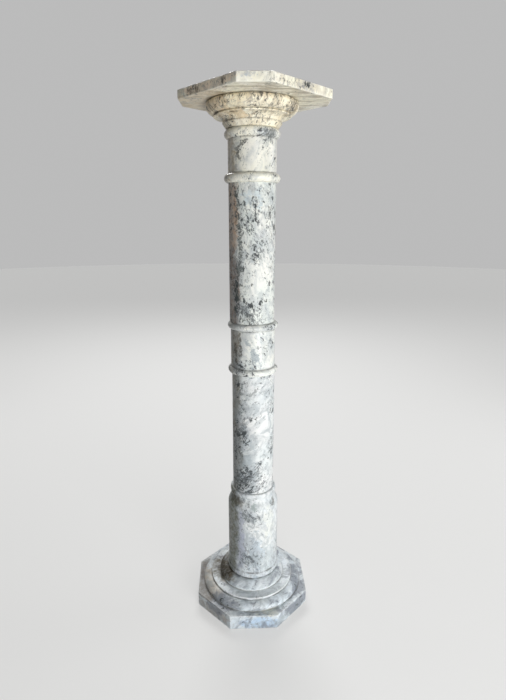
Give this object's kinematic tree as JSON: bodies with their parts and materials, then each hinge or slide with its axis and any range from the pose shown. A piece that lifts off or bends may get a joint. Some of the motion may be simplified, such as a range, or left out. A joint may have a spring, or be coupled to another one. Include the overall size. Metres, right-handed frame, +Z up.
{
  "type": "marble pedestal column",
  "caption": "Turned stone column on an octagonal plinth, with ringed collars, a round capital and a square top slab with cut corners, for carrying a bust or urn.",
  "frame": {"origin": "centre of the plinth's underside", "axes": "+Z up the column; the plinth's front flat faces -Y and +X is to its right"},
  "size_m": [0.2734, 0.2734, 1.06],
  "materials": {
    "base_marble": "polished marble, cool grey-white with blurred grey clouds and brown grime in the creases",
    "drum_marble": "polished marble, cool white with fine grey flecks",
    "lower_shaft_marble": "polished marble, white with dark diagonal flecks",
    "middle_collar_marble": "polished marble, white with grey flecks",
    "upper_shaft_marble": "polished marble, white with dark diagonal flecks",
    "upper_collar_marble": "polished marble, warm white with grey flecks",
    "capital_marble": "polished marble, cream with fine streaks and dark grime under the slab",
    "slab_marble": "polished marble, cream with pink-brown veins and grey patches"
  },
  "bodies": {
    "root": {"base": "base_marble", "lower_drum": "drum_marble", "lower_shaft": "lower_shaft_marble", "middle_collar": "middle_collar_marble", "upper_shaft": "upper_shaft_marble", "upper_collar": "upper_collar_marble", "capital": "capital_marble", "top_slab": "slab_marble"}
  },
  "joints": []
}
